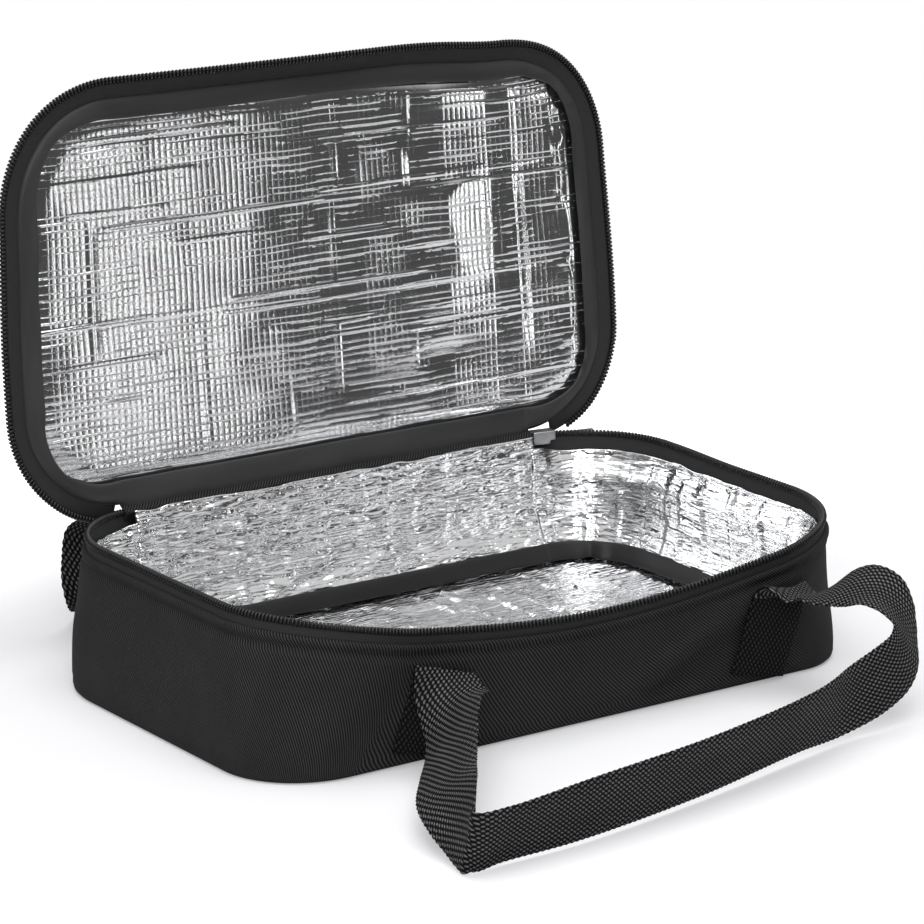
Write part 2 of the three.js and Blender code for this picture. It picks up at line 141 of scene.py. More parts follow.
def noise(x, y, seed):
    """Smooth noise from -1 to 1, about one swell per unit."""
    size = 257
    values = np.random.default_rng(seed).uniform(-1, 1, (size, size))
    x, y = np.broadcast_arrays(np.asarray(x, float), np.asarray(y, float))
    column = np.floor(x).astype(int)
    row = np.floor(y).astype(int)
    across = x - column
    up = y - row
    across = across**3 * (across * (across * 6 - 15) + 10)
    up = up**3 * (up * (up * 6 - 15) + 10)

    def corner(i, j):
        return values[(column + i) % size, (row + j) % size]

    low = corner(0, 0) * (1 - across) + corner(1, 0) * across
    high = corner(0, 1) * (1 - across) + corner(1, 1) * across
    return low * (1 - up) + high * up


def creases(x, y, seed, sharp=2.0):
    """Folds where the noise changes sign, from 0 to 1."""
    return (1 - np.abs(noise(x, y, seed))) ** sharp


def unit(vectors):
    return vectors / np.linalg.norm(vectors, axis=-1, keepdims=True)


# Plans and edges


def base_plan(z):
    share = np.clip(np.asarray(z, float) / ZIP_HEIGHT, 0, 1)
    return [low + (high - low) * share for low, high in zip(FLOOR, RIM)]


def edge(plan, inset, t):
    """Point on a plan's edge. t counts the eight arcs and straights from the hinge's right end."""
    half_x, half_y, front, back = plan
    part = np.clip(np.floor(t), 0, 7)
    share = t - part
    back_x, back_y = half_x - back, half_y - back
    front_x, front_y = half_x - front, front - half_y
    quarter = np.pi / 2
    x_choices, y_choices = [], []
    arcs = {
        0: (back_x, back_y, back, quarter * (1 - share)),
        2: (front_x, front_y, front, -quarter * share),
        4: (-front_x, front_y, front, -quarter - quarter * share),
        6: (-back_x, back_y, back, np.pi - quarter * share),
    }
    right, near = half_x - inset, inset - half_y
    straights = {
        1: ((right, back_y), (right, front_y)),
        3: ((front_x, near), (-front_x, near)),
        5: ((-right, front_y), (-right, back_y)),
        7: ((-back_x, -near), (back_x, -near)),
    }
    for index in range(8):
        if index in arcs:
            middle_x, middle_y, radius, angle = arcs[index]
            x_choices.append(middle_x + (radius - inset) * np.cos(angle))
            y_choices.append(middle_y + (radius - inset) * np.sin(angle))
        else:
            (x0, y0), (x1, y1) = straights[index]
            x_choices.append(x0 + (x1 - x0) * share)
            y_choices.append(y0 + (y1 - y0) * share)
    shape = np.broadcast(x_choices[0], x_choices[1], part).shape
    picks = [np.broadcast_to(part == index, shape) for index in range(8)]
    x = np.select(picks, [np.broadcast_to(c, shape) for c in x_choices])
    y = np.select(picks, [np.broadcast_to(c, shape) for c in y_choices])
    return x, y


def run(plan, spacing, start=0.0, end=WALL_END):
    """Places along an edge at even spacing, and the distance to each of them."""
    fine = np.linspace(start, end, 4000)
    x, y = edge(plan, 0.0, np.minimum(fine, LAST_PLACE))
    along = np.concatenate([[0], np.cumsum(np.hypot(np.diff(x), np.diff(y)))])
    count = max(2, int(round(along[-1] / spacing)))
    length = np.linspace(0, along[-1], count + 1)
    return np.minimum(np.interp(length, along, fine), LAST_PLACE), length


def corner_share(t):
    """From 0 at the ends of a rounded corner to 1 in its middle."""
    return np.clip(1 - np.abs(np.mod(t, 2) - 0.5) * 2, 0, 1)


def zip_line(t):
    x, y = edge(RIM, 0.0, t)
    dip = np.where(y < 0, np.cos(np.pi * x / (2 * RIM[0])) ** 2, 0)
    return ZIP_HEIGHT - FRONT_SAG * dip


def lid_zip_line(t):
    x, y = edge(LID, 0.0, t)
    dip = np.where(y < 0, np.cos(np.pi * x / (2 * LID[0])) ** 2, 0)
    tail = 1 - eased(0.05, 0.5, np.minimum(t, WALL_END - t))
    return ZIP_HEIGHT + ZIP_GAP - LID_CURL * dip + LID_TAIL * tail


def end_lean(x, y, z):
    """How far the soft ends of the base stand to the right of their plan."""
    high = np.clip(z / ZIP_HEIGHT, 0, 1)
    left = eased(70, 131, -x) * (7.0 * high - 3.6 * (1 - high))
    right = eased(70, 131, x) * (-2.0 * high * eased(40, 0, y) - 5.0 * (1 - high))
    return left + right


def leaned(x, y, z):
    """Points of the base with its ends leaning."""
    return np.stack([x + end_lean(x, y, z), y, z], axis=-1)


def base_points(inset, z, t):
    x, y = edge(base_plan(z), inset, t)
    return leaned(*np.broadcast_arrays(x, y, z))


def lid_points(inset, z, t):
    x, y = edge(LID, inset, t)
    return np.stack(np.broadcast_arrays(x, y, z), axis=-1)


def opened(points):
    """Slackens the shut lid's outline and turns it about the hinge line."""
    turned = points.copy()
    x, y = points[..., 0], points[..., 1]
    barrel = 2.0 * bump_at(y, 30, 50) - 1.2 * bump_at(y, -45, 35)
    turned[..., 0] = x + np.sign(x) * barrel * eased(60, 135, np.abs(x))
    slump = 3.4 * bump_at(x, 88, 30) * eased(20, 80, -y)
    y = y + slump + LID_SHIFT - HINGE_Y
    z = points[..., 2] - HINGE_Z
    turned[..., 1] = HINGE_Y + y * math.cos(LID_OPENING) - z * math.sin(LID_OPENING)
    turned[..., 2] = HINGE_Z + y * math.sin(LID_OPENING) + z * math.cos(LID_OPENING)
    return turned


# Meshes


def mesh_piece(name, points, faces, uv=None):
    """New object at the origin from points in millimetres."""
    mesh = bpy.data.meshes.new(name)
    mesh.from_pydata((np.asarray(points, float).reshape(-1, 3) * MM).tolist(), [], faces)
    if uv is not None:
        layer = mesh.uv_layers.new(name="UVMap")
        corners = np.zeros(len(mesh.loops), int)
        mesh.loops.foreach_get("vertex_index", corners)
        flat = np.asarray(uv, float).reshape(-1, 2)[corners] * MM
        layer.data.foreach_set("uv", flat.ravel())
    mesh.validate()
    mesh.shade_smooth()
    piece = bpy.data.objects.new(name, mesh)
    bpy.context.scene.collection.objects.link(piece)
    return piece


def grid_faces(rows, columns, wrap_rows=False, wrap_columns=False, flip=False):
    faces = []
    for i in range(rows if wrap_rows else rows - 1):
        k = (i + 1) % rows
        for j in range(columns if wrap_columns else columns - 1):
            m = (j + 1) % columns
            quad = (i * columns + j, i * columns + m, k * columns + m, k * columns + j)
            faces.append(quad[::-1] if flip else quad)
    return faces


def sheet_piece(name, points, uv, flip=False):
    """Thin sheet over a grid of points."""
    rows, columns = points.shape[:2]
    faces = grid_faces(rows, columns, flip=flip)
    return mesh_piece(name, points, faces, uv)


def bar_piece(name, points, uv, closed=False):
    """Solid bar: each column of the grid is a closed section, capped at open ends."""
    rows, columns = points.shape[:2]
    faces = grid_faces(rows, columns, wrap_rows=True, wrap_columns=closed)
    if not closed:
        first = [i * columns for i in range(rows)]
        last = [i * columns + columns - 1 for i in range(rows)]
        faces.append(tuple(first))
        faces.append(tuple(last[::-1]))
    return mesh_piece(name, points, faces, uv)


def cloth_uv(along, across):
    """Distance along a piece's cloth and, for each of its rows, across it."""
    rows = np.array(across).reshape(len(across), -1)
    return np.stack(np.broadcast_arrays(along[None, :], rows), axis=-1)


def select_only(piece):
    bpy.ops.object.select_all(action="DESELECT")
    piece.select_set(True)
    bpy.context.view_layer.objects.active = piece


def modify(piece, kind, **settings):
    """Adds a modifier and applies it."""
    select_only(piece)
    modifier = piece.modifiers.new(kind.title(), kind)
    for key, value in settings.items():
        setattr(modifier, key, value)
    bpy.ops.object.modifier_apply(modifier=modifier.name)
    return piece


def soften(piece):
    return modify(piece, "SUBSURF", levels=1, render_levels=1)


def thicken(piece, thickness):
    """Gives a sheet its thickness, away from the side that shows."""
    return modify(piece, "SOLIDIFY", thickness=thickness * MM, offset=-1)


def face_outwards(piece):
    select_only(piece)
    bpy.ops.object.mode_set(mode="EDIT")
    bpy.ops.mesh.select_all(action="SELECT")
    bpy.ops.mesh.normals_make_consistent(inside=False)
    bpy.ops.object.mode_set(mode="OBJECT")
    return piece


def dress(piece, material, body, slot, *nodes):
    """Finish, body and the solids that a piece stands for. The slot is not used."""
    piece.data.materials.clear()
    piece.data.materials.append(material)
    if body:
        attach(piece, body)
    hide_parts(*nodes)


# Materials


class Wire:
    """A shader socket that takes part in arithmetic."""

    def __init__(self, tree, socket):
        self.tree = tree
        self.socket = socket

    def math(self, operation, *values):
        node = self.tree.nodes.new("ShaderNodeMath")
        node.operation = operation
        for index, value in enumerate(values):
            plug(self.tree, node.inputs[index], value)
        return Wire(self.tree, node.outputs[0])

    def __add__(self, other):
        return self.math("ADD", self, other)

    def __radd__(self, other):
        return self.math("ADD", other, self)

    def __sub__(self, other):
        return self.math("SUBTRACT", self, other)

    def __rsub__(self, other):
        return self.math("SUBTRACT", other, self)

    def __mul__(self, other):
        return self.math("MULTIPLY", self, other)

    def __truediv__(self, other):
        return self.math("DIVIDE", self, other)

    def sine(self):
        return self.math("SINE", self)

    def size(self):
        return self.math("ABSOLUTE", self)

    def floor(self):
        return self.math("FLOOR", self)

    def most(self, other):
        return self.math("MAXIMUM", self, other)

    def least(self, other):
        return self.math("MINIMUM", self, other)

    def wave(self, period):
        """From -1 to 1, once per period."""
        return (self * (2 * math.pi / period)).sine()


def plug(tree, socket, value):
    if isinstance(value, Wire):
        tree.links.new(value.socket, socket)
    else:
        socket.default_value = value


class Finish:
    """A material being built from nodes."""

    def __init__(self, name, **shader):
        self.material = bpy.data.materials.new(name)
        self.material.use_nodes = True
        self.tree = self.material.node_tree
        self.tree.nodes.clear()
        output = self.tree.nodes.new("ShaderNodeOutputMaterial")
        self.shader = self.tree.nodes.new("ShaderNodeBsdfPrincipled")
        self.tree.links.new(self.shader.outputs[0], output.inputs[0])
        for key, value in shader.items():
            self.shader.inputs[key.replace("_", " ")].default_value = value

    def node(self, kind, sockets=None, output=0, **settings):
        node = self.tree.nodes.new("ShaderNode" + kind)
        for key, value in settings.items():
            setattr(node, key, value)
        for key, value in (sockets or {}).items():
            plug(self.tree, node.inputs[key], value)
        return Wire(self.tree, node.outputs[output])

    def uv(self):
        """Along and across the piece's own cloth, in millimetres."""
        parts = self.tree.nodes.new("ShaderNodeSeparateXYZ")
        plug(self.tree, parts.inputs[0], self.node("UVMap", uv_map="UVMap"))
        return [Wire(self.tree, parts.outputs[axis]) * (1 / MM) for axis in (0, 1)]

    def place(self):
        """Object coordinates in millimetres, as a vector."""
        coordinates = self.node("TexCoord", output="Object")
        return self.node("VectorMath", {0: coordinates, 1: (1 / MM,) * 3}, operation="MULTIPLY")

    def vector(self, x, y):
        return self.node("CombineXYZ", {0: x, 1: y})

    def noise(self, vector, scale, detail=2.0, roughness=0.5):
        sockets = {"Vector": vector, "Scale": scale, "Detail": detail, "Roughness": roughness}
        return self.node("TexNoise", sockets)

    def mix(self, share, first, second):
        sockets = {0: share, 6: first, 7: second}
        return self.node("Mix", sockets, output=2, data_type="RGBA", clamp_factor=True)

    def ramp(self, value, low, high):
        sockets = {0: value, 1: low, 2: high, 3: 0.0, 4: 1.0}
        return self.node("MapRange", sockets, interpolation_type="SMOOTHSTEP")

    def set(self, socket, value):
        plug(self.tree, self.shader.inputs[socket], value)

    def bump(self, *heights):
        """Stacks heights in millimetres, each with its strength."""
        normal = None
        for height, strength in heights:
            sockets = {"Height": height, "Distance": MM, "Strength": strength}
            if normal is not None:
                sockets["Normal"] = normal
            normal = self.node("Bump", sockets)
        self.set("Normal", normal)


def grey(level):
    return (level, level, level * 1.02, 1)


def oxford_fabric():
    """Black polyester with a steep diagonal rib."""
    finish = Finish("black_oxford", Specular_IOR_Level=0.2)
    along, up = finish.uv()
    rib = (along - up * 0.8).wave(1.25) * 0.5 + 0.5
    thread = (up + along * 0.9).wave(1.1) * 0.5 + 0.5
    cloud = finish.noise(finish.vector(along, up), 0.05, 4.0, 0.6)
    lint = finish.noise(finish.vector(along, up), 0.9)
    weave = rib * (0.75 + thread * 0.25)
    shade = finish.ramp(weave * 0.85 + lint * 0.2, 0.15, 0.85)
    finish.set("Base Color", finish.mix(shade, grey(0.003), finish.mix(cloud, grey(0.032), grey(0.07))))
    finish.set("Roughness", 0.7 + lint * 0.2)
    finish.bump((weave * 0.2, 0.8), (cloud * 0.5, 0.25))
    return finish.material


def strap_webbing(name, low, high):
    """Coarse weave: bright knots in slanting rows over dark gaps."""
    finish = Finish(name, Specular_IOR_Level=0.12)
    along, across = finish.uv()
    rows = (along * 0.25 - across * 0.46).wave(1.0) + (along * 0.48 + across * 0.58).wave(1.0)
    fuzz = finish.noise(finish.vector(along, across), 1.4, 3.0)
    wear = finish.noise(finish.vector(along * 0.03, across * 0.12), 1.0)
    knot = finish.ramp(rows + fuzz * 0.5, 0.1, 1.8)
    finish.set("Base Color", finish.mix(knot, grey(0.003), finish.mix(wear, grey(low), grey(high))))
    finish.set("Roughness", 0.6 + fuzz * 0.25)
    finish.bump((knot * 0.2, 0.9), (fuzz * 0.1, 0.4))
    return finish.material


def zip_tape_weave():
    """Fine herringbone of a woven tape."""
    finish = Finish("zip_tape", Roughness=0.75, Specular_IOR_Level=0.25)
    along, up = finish.uv()
    chevron = (along + (up.wave(4.0) * 0.6)).wave(0.8) * 0.5 + 0.5
    row = up.wave(0.7) * 0.5 + 0.5
    weave = chevron * 0.6 + row * 0.4
    finish.set("Base Color", finish.mix(weave, grey(0.014), grey(0.055)))
    finish.bump((weave * 0.1, 0.6))
    return finish.material


def nylon_coil():
    finish = Finish("zip_nylon", Roughness=0.34)
    speck = finish.noise(finish.place(), 0.8)
    finish.set("Base Color", finish.mix(speck, grey(0.006), grey(0.016)))
    return finish.material


def vinyl_binding(name, low, high):
    """Smooth dark tape with faint ripples."""
    finish = Finish(name, Specular_IOR_Level=0.3)
    along, across = finish.uv()
    cloud = finish.noise(finish.vector(along * 0.02, across * 0.15), 1.0)
    ripple = finish.noise(finish.vector(along * 0.12, across * 0.3), 1.0)
    finish.set("Base Color", finish.mix(cloud, grey(low), grey(high)))
    finish.set("Roughness", 0.38 + cloud * 0.14)
    finish.bump((ripple * 0.35, 0.35))
    return finish.material


# Spacing of the foil's scrim threads
SCRIM_UP = 2.7
SCRIM_ALONG = 2.45


def thread_row(finish, across, along, pitch, rare):
    """Ridges over one set of scrim threads that start and stop, and the pillows between them."""
    place = across / pitch
    row = place.floor()
    off = (place - row - 0.5).size() * 2
    reach = finish.noise(finish.vector(row * 7.31, along * 0.025), 1.0)
    fray = finish.noise(finish.vector(row * 3.7, along * 0.35), 1.0, 1.0)
    shown = finish.ramp(reach + fray * 0.2, rare, rare + 0.14)
    return finish.ramp(off, 0.6, 1.0) * shown, 1 - off * off


def lid_film():
    """Metallised film drawn flat over a square scrim."""
    finish = Finish("lid_foil", Metallic=1.0)
    along, up = finish.uv()
    sway = finish.noise(finish.vector(along * 0.03, up * 0.03), 1.0, 1.0) * 2.0
    level, pillow_up = thread_row(finish, up + sway, along, SCRIM_UP, 0.58)
    upright, pillow_along = thread_row(finish, along + sway, up, SCRIM_ALONG, 0.74)
    grain = finish.noise(finish.vector(along, up), 1.6)
    patch = finish.noise(finish.vector(along * 0.05, up * 0.08), 1.0)
    finish.set("Base Color", finish.mix(patch, (0.84, 0.85, 0.86, 1), (0.95, 0.95, 0.96, 1)))
    finish.set("Roughness", 0.07 + patch * 0.08)
    pillow = pillow_up * 0.034 + pillow_along * 0.02
    finish.bump((level.most(upright * 0.4) * 0.3 + pillow + grain * 0.02, 1.0))
    return finish.material


def base_film():
    """Metallised film crumpled over a square scrim."""
    finish = Finish("base_foil", Metallic=1.0)
    along, up = finish.uv()
    sway = finish.noise(finish.vector(along * 0.04, up * 0.04), 1.0, 1.0) * 4.0
    level, pillow_up = thread_row(finish, up + sway, along, SCRIM_UP, 0.6)
    upright, pillow_along = thread_row(finish, along + sway, up, SCRIM_ALONG, 0.66)
    patch = finish.noise(finish.vector(along * 0.06, up * 0.1), 1.0, 3.0)
    fold = (finish.noise(finish.vector(along * 0.07, up * 0.4), 1.0, 1.0) - 0.5).size()
    nick = (finish.noise(finish.vector(along * 0.22, up * 0.55), 1.0, 1.0) - 0.5).size()
    finish.set("Base Color", finish.mix(patch, (0.8, 0.81, 0.82, 1), (0.95, 0.95, 0.96, 1)))
    finish.set("Roughness", 0.06 + patch * 0.08)
    threads = level.most(upright) * 0.07 + (pillow_up + pillow_along) * 0.01
    finish.bump((threads, 1.0), (fold * 1.3 + nick * 0.32, 1.0))
    return finish.material


def slider_metal():
    finish = Finish("slider_metal", Metallic=0.85)
    wear = finish.noise(finish.place(), 0.35, 3.0)
    finish.set("Base Color", finish.mix(wear, (0.38, 0.38, 0.39, 1), (0.6, 0.6, 0.61, 1)))
    finish.set("Roughness", 0.28 + wear * 0.2)
    return finish.material


OXFORD = oxford_fabric()
WEBBING = strap_webbing("black_webbing", 0.1, 0.24)
# The legs use the same webbing painted darker, as painted shade from the strap's loop above them
SHADED_LEG_WEBBING = strap_webbing("shaded_leg_webbing", 0.025, 0.055)
TAPE = zip_tape_weave()
NYLON = nylon_coil()
LID_VINYL = vinyl_binding("lid_vinyl", 0.02, 0.075)
# The floor's binding is the lid's vinyl painted darker, as painted shade at the bottom of the bag
SHADED_FLOOR_VINYL = vinyl_binding("shaded_floor_vinyl", 0.008, 0.02)
LID_FOIL = lid_film()
BASE_FOIL = base_film()
METAL = slider_metal()


# Base: outer fabric


def wall_swell(t, z, top):
    """How far the soft wall stands out of its plan, in millimetres."""
    x, y = edge(base_plan(z), 0.0, t)
    rise = np.clip(z / np.maximum(top - 6, 1), 0, 1)
    belly = 0.5 + 0.7 * np.sin(np.pi * rise) ** 1.2 - 2.2 * bump_at(x, 130, 22) * eased(0.2, 0.8, rise)
    slack = 0.9 * noise(x / 34 + y / 50, z / 30 + y / 40, 11) * np.sin(np.pi * rise)
    slope = (x - 40) * 0.45 - (z - 22)
    fold = 2.5 * bump_at(slope, 0, 5) * bump_at(x, 38, 26) * (y < 0)
    dent = -2.8 * bump_at(slope, 13, 7) * bump_at(x, 40, 26) * (y < 0)
    corner = 1.5 * bump_at(x, -128, 18) * bump_at(y, -50, 40) * np.sin(np.pi * rise)
    return belly + slack + fold + dent + corner


# Inset of the wall's fold and foot, with the place below the zip line and the height
FOLD_PROFILE = (
    (1.5, -4.9), (0.7, -4.9), (-0.1, -5.2), (-0.5, -5.9),
    (-0.45, -6.8), (-0.05, -7.6), (0.35, -8.3), (0.25, -9.2),
)
FOOT_PROFILE = ((-0.5, 4.2), (-0.4, 2.4), (0.0, 1.2), (0.9, 0.4), (2.4, 0.05), (6.0, 0.0), (11.0, 0.0))
WALL_ROWS = 26


def fabric_wall(name, start, end):
    t, along = run(RIM, EDGE_STEP, start, end)
    top = zip_line(t)
    rows, heights = [], []
    for inset, below in FOLD_PROFILE:
        rows.append(base_points(inset, top + below, t))
        heights.append(top + below)
    for share in np.linspace(0, 1, WALL_ROWS):
        z = (top - 10.4) * (1 - share) + 6.0 * share
        swell = wall_swell(t, z, top)
        rows.append(base_points(-swell, z, t))
        heights.append(z)
    for inset, z in FOOT_PROFILE:
        level = np.full_like(t, z)
        rows.append(base_points(inset, level, t))
        heights.append(level - inset)
    piece = sheet_piece(name, np.array(rows), cloth_uv(along, heights))
    return thicken(piece, FABRIC_THICK)


def panel_grid(plan, inset, columns, rows, crowd=1.0):
    """Grid of x and y over a rounded rectangle, closer together at its edge."""
    half_x, half_y, front, back = plan

    def crowded(count):
        share = np.linspace(-1, 1, count)
        return np.sign(share) * (1 - (1 - np.abs(share)) ** crowd)

    y = crowded(rows) * (half_y - inset)
    radius = np.where(y < 0, front - inset, back - inset)
    past = np.maximum(np.abs(y) - (half_y - inset - radius), 0)
    half = half_x - inset - radius + np.sqrt(np.maximum(radius**2 - past**2, 0))
    return half[:, None] * crowded(columns)[None, :], np.repeat(y[:, None], columns, axis=1)


def edge_distance(plan, inset, x, y):
    """Distance inwards from a rounded rectangle's edge."""
    half_x, half_y, front, back = plan
    radius = np.where(y < 0, front - inset, back - inset)
    past_x = np.abs(x) - (half_x - inset - radius)
    past_y = np.abs(y) - (half_y - inset - radius)
    outside = np.hypot(np.maximum(past_x, 0), np.maximum(past_y, 0))
    return radius - outside - np.minimum(np.maximum(past_x, past_y), 0)


def make_base_fabric():
    gusset = fabric_wall("gusset_fabric", 0.0, WALL_END)
    dress(gusset, OXFORD, "base", "outer_fabric", "base_gusset_fabric")
    back = fabric_wall("back_fabric", WALL_END, EDGE_END)
    dress(back, OXFORD, "base", "outer_fabric", "base_back_fabric")
    x, y = panel_grid(FLOOR, BOTTOM_INSET, 90, 56)
    z = 0.25 + 0.2 * noise(x / 30, y / 26, 21)
    points = leaned(x, y, z)
    bottom = sheet_piece("bottom_fabric", points, points[..., :2], flip=True)
    thicken(bottom, FABRIC_THICK)
    dress(bottom, OXFORD, "base", "outer_fabric", "base_floor_fabric")


# Base: foil lining


def folded(x, seed, pitch, height):
    """Straight stretches of uneven length between random heights."""
    random = np.random.default_rng(seed)
    breaks = np.cumsum(random.uniform(0.45, 1.55, 400)) * pitch - 200 * pitch
    return np.interp(x, breaks, random.uniform(-1, 1, 400) * height)


def film_crumple(along, up):
    """Folds along the film, cut into blocks by sharp creases across it."""
    random = np.random.default_rng(31)
    breaks = np.cumsum(random.uniform(7, 21, 120)) - 400
    place = along + 1.4 * noise(up / 14, along / 50, 32)
    block = np.searchsorted(breaks, place)
    rows = np.zeros_like(place)
    nearest = np.full_like(place, 99.0)
    for index in range(1, len(breaks)):
        tilt = random.uniform(-0.13, 0.13)
        inside = block == index
        if not inside.any():
            continue
        lean = up[inside] + tilt * (place[inside] - breaks[index])
        rows[inside] = folded(lean, 300 + index, 2.5, 0.5) + folded(lean, 500 + index, 7.5, 0.6)
        edges = np.abs(place[inside][:, None] - breaks[None, index - 1:index + 1])
        nearest[inside] = edges.min(axis=1)
    ridge = np.clip(1 - nearest / 1.3, 0, 1) * (0.45 + 0.45 * noise(along / 9, up / 12, 33))
    slant = creases(along / 21 + up / 18, up / 12 - along / 60, 34, 7.0) * 0.5
    swell = noise(along / 36, up / 22, 35) * 0.7
    return rows + ridge + slant + swell


FOOT_LINE = 8.0
FOOT_BULGE = 4.4


def foil_wall(name, start, end, show, lean):
    """Lining from a line below the zip down to the floor; lean is how far its top stands in."""
    t, along = run(RIM, 1.4, start, end)
    along = along + start * 90
    near_back = np.maximum(eased(0.25, 0, t), eased(6.75, 7, t)) * (end < 7.5)
    lean = lean + (6.4 - lean) * near_back
    top = zip_line(t) - show + 2.6 * near_back + 0.5 * noise(along / 9, 0, 38)
    share = np.linspace(0, 1, 84)[:, None]
    z = top * (1 - share) + FOOT_LINE * share
    below = top - z
    along, t = np.broadcast_to(along, z.shape), np.broadcast_to(t, z.shape)
    inset = lean + (6.2 - lean) * eased(2.0, 10.0, below) + FOOT_BULGE * eased(24, 9, z)
    slack = eased(0, 5, below) * eased(0, 4, z - FOOT_LINE + 1.5)
    corner = corner_share(t)
    gather = 0.9 * creases(along / 6.5, z / 40, 37) * bump_at(below, 4, 7) * (0.3 + corner)
    points = base_points(inset + film_crumple(along, z) * slack + gather, z, t)
    uv = np.stack([along, z], axis=-1)
    return thicken(sheet_piece(name, points, uv, flip=True), FILM_THICK)


def make_base_foil():
    gusset = foil_wall("gusset_foil", -0.04, 7.015, 7.0, 2.6)
    dress(gusset, BASE_FOIL, "base", "foil", "base_gusset_lining", "base_gusset_foam")
    back = foil_wall("back_foil", WALL_END, EDGE_END, 0.2, 5.9)
    dress(back, BASE_FOIL, "base", "foil", "base_back_lining", "base_back_foam")
    plan = [float(value) for value in base_plan(6.0)]
    x, y = panel_grid(plan, FLOOR_FOIL_INSET, 190, 200)
    slack = eased(6, 16, edge_distance(plan, FLOOR_FOIL_INSET, x, y))
    z = 6.5 + (film_crumple(x + 260, y) * 0.8 + 0.8) * slack
    points = leaned(x, y, z)
    floor = sheet_piece("floor_foil", points, points[..., :2])
    thicken(floor, FILM_THICK)
    dress(floor, BASE_FOIL, "base", "foil", "base_floor_lining", "base_floor_foam")


FLOOR_BINDING = (
    (13.6, 6.9), (14.2, 7.6), (13.6, 9.4), (12.7, 11.6), (11.8, 13.3),
    (11.1, 13.8), (10.5, 13.2), (11.1, 11.4), (12.0, 9.2), (12.8, 7.3),
)
BINDING_ROW = 2.0


def whole_edge(plan):
    """Places all round an edge, without the first one again at the end."""
    t, along = run(plan, EDGE_STEP, 0.0, EDGE_END)
    return t[:-1], along[:-1]


def binding_piece(name, rows, along):
    """Closed ring of soft tape from the rows of its section."""
    uv = cloth_uv(along, BINDING_ROW * np.arange(len(rows)))
    return face_outwards(soften(bar_piece(name, rows, uv, closed=True)))


def make_floor_binding():
    t, along = whole_edge(FLOOR)
    kink = 1.1 * bump_at(along, 34, 4) - 0.9 * bump_at(along, 27, 3)
    pucker = 0.4 * noise(along / 12, 0, 51) + kink
    rows = []
    for inset, z in FLOOR_BINDING:
        lift = pucker * eased(13.9, 7, z)
        rows.append(base_points(inset + lift + 0.5 * kink, z + 0.4 * np.abs(lift), t))
    piece = binding_piece("floor_binding", np.array(rows), along)
    # Its vinyl is painted darker, as painted shade at the bottom of the bag
    dress(piece, SHADED_FLOOR_VINYL, "base", "binding", "base_floor_binding")


# Zip


def strip_rows(place, start, end, t):
    """Rows of a zip tape between two lines of inset and height."""
    start_in, start_z = (np.broadcast_to(v, t.shape) for v in start)
    end_in, end_z = (np.broadcast_to(v, t.shape) for v in end)
    way_in, way_z = end_in - start_in, end_z - start_z
    size = np.hypot(way_in, way_z)
    way_in, way_z = way_in / size, way_z / size
    off_in, off_z = -way_z * TAPE_THICK / 2, way_in * TAPE_THICK / 2
    rows = []
    steps = np.linspace(0, 1, 7)
    for side, shares in ((1, steps), (-1, steps[::-1])):
        for share in shares:
            thin = 0.5 if share in (0.0, 1.0) else 1.0
            inset = start_in + (end_in - start_in) * share + side * off_in * thin
            z = start_z + (end_z - start_z) * share + side * off_z * thin
            rows.append(place(inset, z, t))
    girth = np.concatenate([steps, steps[::-1]]) * float(np.mean(size))
    return np.array(rows), girth


def tooth_template():
    """One loop of the coil over the tape's edge: along, inwards and up, in millimetres."""
    bpy.ops.object.select_all(action="DESELECT")
    bpy.ops.mesh.primitive_torus_add(
        major_segments=12, minor_segments=5, major_radius=0.95 * MM, minor_radius=0.44 * MM
    )
    ring = bpy.context.active_object
    bpy.ops.object.mode_set(mode="EDIT")
    bpy.ops.mesh.select_all(action="SELECT")
    bpy.ops.transform.resize(value=(1.0, 1.15, 1.25))
    bpy.ops.mesh.bisect(
        plane_co=(0, -0.6 * MM, 0), plane_no=(0, 1, 0), clear_inner=True, use_fill=True
    )
    bpy.ops.object.mode_set(mode="OBJECT")
    points = np.array([vertex.co for vertex in ring.data.vertices]) / MM
    faces = [tuple(face.vertices) for face in ring.data.polygons]
    bpy.data.objects.remove(ring)
    inwards, up, along = points[:, 0], points[:, 1], points[:, 2]
    return np.stack([along, inwards, up], axis=-1), faces


TOOTH, TOOTH_FACES = tooth_template()


CORD_SIDES = 6
CORD_RADIUS = 0.75


def coil_piece(place, line, plan, start, end, turn):
    """Row of teeth along a zip line, with the cord that they are sewn over."""
    t = run(plan, TOOTH_PITCH, start, end)[0][:-1]
    ahead = 1e-3
    height = line(t)
    points, faces = [], []
    here = place(COIL_INSET, height, t)
    there = place(COIL_INSET, line(t + ahead), t + ahead)
    inner = place(COIL_INSET + 1, height, t)
    way = unit(there - here)
    inwards = unit(inner - here)
    up = np.cross(way, inwards)
    up = np.where(up[:, 2:3] < 0, -up, up) * turn
    for index in range(len(t)):
        spot = here[index] + TOOTH[:, :1] * way[index]
        spot = spot + TOOTH[:, 1:2] * inwards[index] + TOOTH[:, 2:] * up[index]
        first = index * len(TOOTH)
        points.append(spot)
        faces.extend(tuple(first + corner for corner in face) for face in TOOTH_FACES)
    angles = np.arange(CORD_SIDES) * 2 * np.pi / CORD_SIDES
    ring = [here + CORD_RADIUS * (inwards * np.cos(a) + up * np.sin(a)) for a in angles]
    first = len(t) * len(TOOTH)
    cord = grid_faces(CORD_SIDES, len(t), wrap_rows=True)
    faces.extend(tuple(first + corner for corner in face) for face in cord)
    faces.append(tuple(first + i * len(t) for i in range(CORD_SIDES)))
    faces.append(tuple(first + i * len(t) + len(t) - 1 for i in range(CORD_SIDES - 1, -1, -1)))
    return np.concatenate(points + ring), faces


